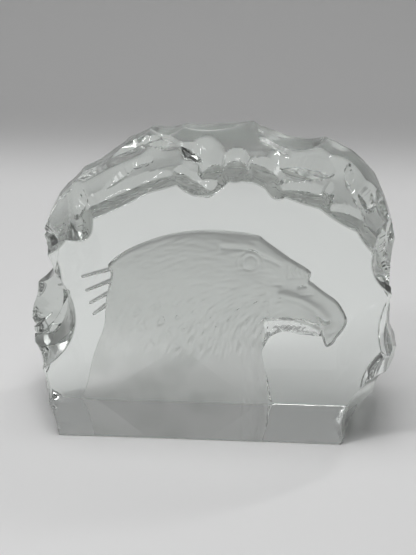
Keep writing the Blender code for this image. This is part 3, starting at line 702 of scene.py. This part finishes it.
class Finish:
    def __init__(self, name, **values):
        self.material = bpy.data.materials.new(name)
        self.material.use_nodes = True
        self.tree = self.material.node_tree
        self.shader = self.tree.nodes["Principled BSDF"]
        for socket, value in values.items():
            self.shader.inputs[socket.replace("_", " ")].default_value = value

    def node(self, kind, settings, sockets, output=0):
        made = self.tree.nodes.new(kind)
        for name, value in settings.items():
            setattr(made, name, value)
        for name, value in sockets.items():
            if isinstance(value, Wire):
                self.tree.links.new(value.socket, made.inputs[name])
            else:
                made.inputs[name].default_value = value
        return Wire(self, made.outputs[output])

    def sum(self, operation, first, second):
        return self.node("ShaderNodeMath", {"operation": operation}, {0: first, 1: second})

    def feed(self, socket, wire):
        self.tree.links.new(wire.socket, self.shader.inputs[socket])

    def place(self):
        return self.node("ShaderNodeTexCoord", {}, {}, "Object")

    def noise(self, place, scale, detail=2.0):
        sockets = {"Vector": place, "Scale": scale, "Detail": detail}
        return self.node("ShaderNodeTexNoise", {}, sockets)

    def ramp(self, value, start, end, low=0.0, high=1.0):
        sockets = {"Value": value, "From Min": start, "From Max": end}
        sockets.update({"To Min": low, "To Max": high})
        return self.node("ShaderNodeMapRange", {"interpolation_type": "SMOOTHSTEP"}, sockets)

    def bump(self, height, strength, distance):
        sockets = {"Height": height, "Strength": strength, "Distance": distance}
        self.feed("Normal", self.node("ShaderNodeBump", {}, sockets))


glassLook = {
    "ior": 1.52,
    "clearTint": (0.955, 0.985, 0.965, 1),
    "rimShadeTint": (0.57, 0.60, 0.575, 1),  # painted shade: the cast rim is tinted darker to stand in for the grey its chips show by total reflection
    "polishRoughness": 0.02,
    "smearScale": 90.0,
    "swirlScale": 60.0,
    "swirlStrength": 0.10,
    "swirlDepth": 0.0002,
    "frostTint": (0.55, 0.58, 0.55, 1),
    "frostRoughness": (0.30, 0.12),  # the least, and how much its patches add
    "patchScale": 160.0,
    "grainScale": 2600.0,
    "grainStrength": 0.35,
    "grainDepth": 0.00008,
    # painted light: a whiter tint in patches low on the neck
    "paintedLightTint": (0.98, 0.99, 0.97, 1),
    "paintedLightTop": 0.034,  # metres up the neck
    "paintedLightScale": 55.0,
    "paintedLightEdge": (0.38, 0.62),
    "paintedLightVeil": 0.35,  # share of the painted light between the patches
}


def clearCrystal(name, tint):
    look = glassLook
    finish = Finish(name, Base_Color=tint, IOR=look["ior"], Transmission_Weight=1.0)
    place = finish.place()
    finish.feed("Roughness", finish.noise(place, look["smearScale"]) * look["polishRoughness"])
    swirls = finish.noise(place, look["swirlScale"], 0.0)
    finish.bump(swirls, look["swirlStrength"], look["swirlDepth"])
    return finish.material


def frostedCrystal():
    # satin, whiter low on the neck in patches of painted light, which stand in for light falling
    # through the block there
    look = glassLook
    values = {"Base_Color": look["frostTint"], "IOR": look["ior"], "Transmission_Weight": 1.0}
    finish = Finish("frosted_crystal", **values)
    place = finish.place()
    height = finish.node("ShaderNodeSeparateXYZ", {}, {"Vector": place}, "Z")
    # painted light: the satin turns whiter in patches low down
    low = finish.ramp(height, look["paintedLightTop"], 0.0)
    lightPatches = finish.ramp(finish.noise(place, look["paintedLightScale"]), *look["paintedLightEdge"])
    share = low * (look["paintedLightVeil"] + lightPatches * (1 - look["paintedLightVeil"]))
    sockets = {0: share, 6: look["frostTint"], 7: look["paintedLightTint"]}
    finish.feed("Base Color", finish.node("ShaderNodeMix", {"data_type": "RGBA"}, sockets, 2))
    least, more = look["frostRoughness"]
    finish.feed("Roughness", least + finish.noise(place, look["patchScale"]) * more)
    grain = finish.noise(place, look["grainScale"])
    finish.bump(grain, look["grainStrength"], look["grainDepth"])
    return finish.material


def sharpenFlatFaces(mesh):
    # the two flat faces keep one straight normal right up to their edges
    bm = bmesh.new()
    bm.from_mesh(mesh)
    for face in bm.faces:
        if len(face.verts) > blockShape["flatFaceCorners"]:
            for edge in face.edges:
                edge.smooth = False
    bm.to_mesh(mesh)
    bm.free()


def crystalBlock():
    clear = clearCrystal("clear_crystal", glassLook["clearTint"])
    # painted shade: the rim's finish is tinted darker than the clear faces
    rim = clearCrystal("rim_crystal_painted_shade", glassLook["rimShadeTint"])
    frosted = frostedCrystal()
    rough = objectFrom(chippedBlock(), "rough_block", clear, rim)
    print("block chipped")
    cutter = objectFrom(headCutter(), "head_cutter", frosted, clear)
    print("head carved")
    sinking = rough.modifiers.new("sunk_head", "BOOLEAN")
    sinking.operation = "DIFFERENCE"
    sinking.solver = "EXACT"
    sinking.material_mode = "TRANSFER"
    sinking.object = cutter
    bpy.context.view_layer.update()
    shown = rough.evaluated_get(bpy.context.evaluated_depsgraph_get())
    mesh = bpy.data.meshes.new_from_object(shown)
    mesh.name = "crystal_eagle_block"
    piece = bpy.data.objects.new("crystal_eagle_block", mesh)
    collection.objects.link(piece)
    for spare in (rough, cutter):
        bpy.data.objects.remove(spare)
    mesh.shade_smooth()
    mesh.set_sharp_from_angle(angle=math.radians(blockShape["sharpAngle"]))
    sharpenFlatFaces(mesh)
    print("head sunk:", sum(len(face.vertices) - 2 for face in mesh.polygons), "triangles")
    return piece


piece = crystalBlock()
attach(piece, "root")
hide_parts("crystal_block")


stageLook = {
    "floorTone": 0.80,
    # painted shade: the wall end of the sheet is darker, for the light falling off there
    "wallShadeTone": 0.44,
    "toneDrift": 0.02,  # faint unevenness of the paper
    "driftScale": 1.5,
    "shadeFadeStart": 0.205,  # metres behind the block's middle
    "shadeFadeEnd": 0.345,
    "curveStart": 0.30,
    "curveRadius": 0.15,
    "floorDrop": 0.0001,  # a hair of air under the base
    "halfWidth": 4.0,
    "front": -4.0,
    "floorSteps": 280,
    "wallHeight": 1.0,
    "worldTone": 0.04,
    "boxSize": 0.60,
    "boxPower": 5.4,
    "boxPlace": (-0.04, -0.14, 0.95),
    "stripSize": 0.05,
    "stripLength": 0.30,
    "stripPower": 1.4,
    "leftStrip": (-0.55, -0.35, 0.55),
    "rightStrip": (0.50, 0.45, 0.70),
}


def sweptFloor():
    # one sheet: flat floor, then a round curve up into the wall, its colour greyer towards the back
    # as painted shade for the light falling off there
    look = stageLook
    finish = Finish("pale_paper", Roughness=0.9)
    place = finish.place()
    apart = finish.node("ShaderNodeSeparateXYZ", {}, {"Vector": place}, "Y")  # towards the wall
    # painted shade: the paper darkens from the floor towards the wall
    paintedFalloff = finish.ramp(
        apart, look["shadeFadeStart"], look["shadeFadeEnd"], look["floorTone"], look["wallShadeTone"],
    )
    tone = paintedFalloff + finish.noise(place, look["driftScale"]) * look["toneDrift"]
    sockets = {"Red": tone, "Green": tone, "Blue": tone}
    finish.feed("Base Color", finish.node("ShaderNodeCombineColor", {}, sockets))
    bm = bmesh.new()
    bmesh.ops.create_grid(bm, x_segments=2, y_segments=look["floorSteps"], size=1)
    flat = look["curveStart"] - look["front"]
    bend = look["curveRadius"] * math.pi / 2
    for vert in bm.verts:
        run = (vert.co.y + 1) / 2 * (flat + bend + look["wallHeight"])
        turn = min(max((run - flat) / look["curveRadius"], 0), math.pi / 2)
        rise = max(run - flat - bend, 0) + look["curveRadius"] * (1 - math.cos(turn))
        back = min(run, flat) + look["curveRadius"] * math.sin(turn)
        vert.co = (vert.co.x * look["halfWidth"], look["front"] + back, rise - look["floorDrop"])
    for face in bm.faces:
        face.smooth = True
    bmesh.ops.recalc_face_normals(bm, faces=bm.faces)
    return objectFrom(bm, "swept_floor", finish.material)


def areaLight(name, place, width, length, power):
    light = bpy.data.lights.new(name, "AREA")
    light.shape = "RECTANGLE"
    light.size, light.size_y = width, length
    light.energy = power
    box = bpy.data.objects.new(name, light)
    box.location = place
    box.rotation_euler = (-box.location).to_track_quat("-Z", "Y").to_euler()
    collection.objects.link(box)


def studioLights():
    # a large soft box overhead, and two narrow ones that wake the edges of the chips
    look = stageLook
    areaLight("soft_box", look["boxPlace"], look["boxSize"], look["boxSize"], look["boxPower"])
    for side in ("left", "right"):
        place = look[side + "Strip"]
        size = look["stripSize"], look["stripLength"]
        areaLight(side + "_strip", place, *size, look["stripPower"])
    world = bpy.data.worlds.new("dim_room")
    world.use_nodes = True
    ground = world.node_tree.nodes["Background"]
    ground.inputs["Color"].default_value = (look["worldTone"],) * 3 + (1,)
    scene.world = world


cameraView = {
    "pitch": 22,  # degrees down
    "turn": 4,  # degrees round to the right
    "distance": 0.360,  # metres, as is the target
    "target": (-0.00125, 0, 0.043),
    "lens": 80,
    "sensorWidth": 36,
}


def mainCamera():
    view = cameraView
    pitch, turn = math.radians(view["pitch"]), math.radians(view["turn"])
    back = Vector((
        math.sin(turn) * math.cos(pitch),
        -math.cos(turn) * math.cos(pitch),
        math.sin(pitch),
    ))
    lens = bpy.data.cameras.new("main_camera")
    lens.lens = view["lens"]
    lens.sensor_width = view["sensorWidth"]
    camera = bpy.data.objects.new("main_camera", lens)
    camera.location = Vector(view["target"]) + back * view["distance"]
    camera.rotation_euler = (-back).to_track_quat("-Z", "Y").to_euler()
    collection.objects.link(camera)
    scene.camera = camera


sweptFloor()
studioLights()
mainCamera()
scene.view_settings.view_transform = "Standard"
scene.cycles.max_bounces = 24  # long paths, because the chips bounce light many times
scene.cycles.glossy_bounces = 16
scene.cycles.transmission_bounces = 24
print("stage set")
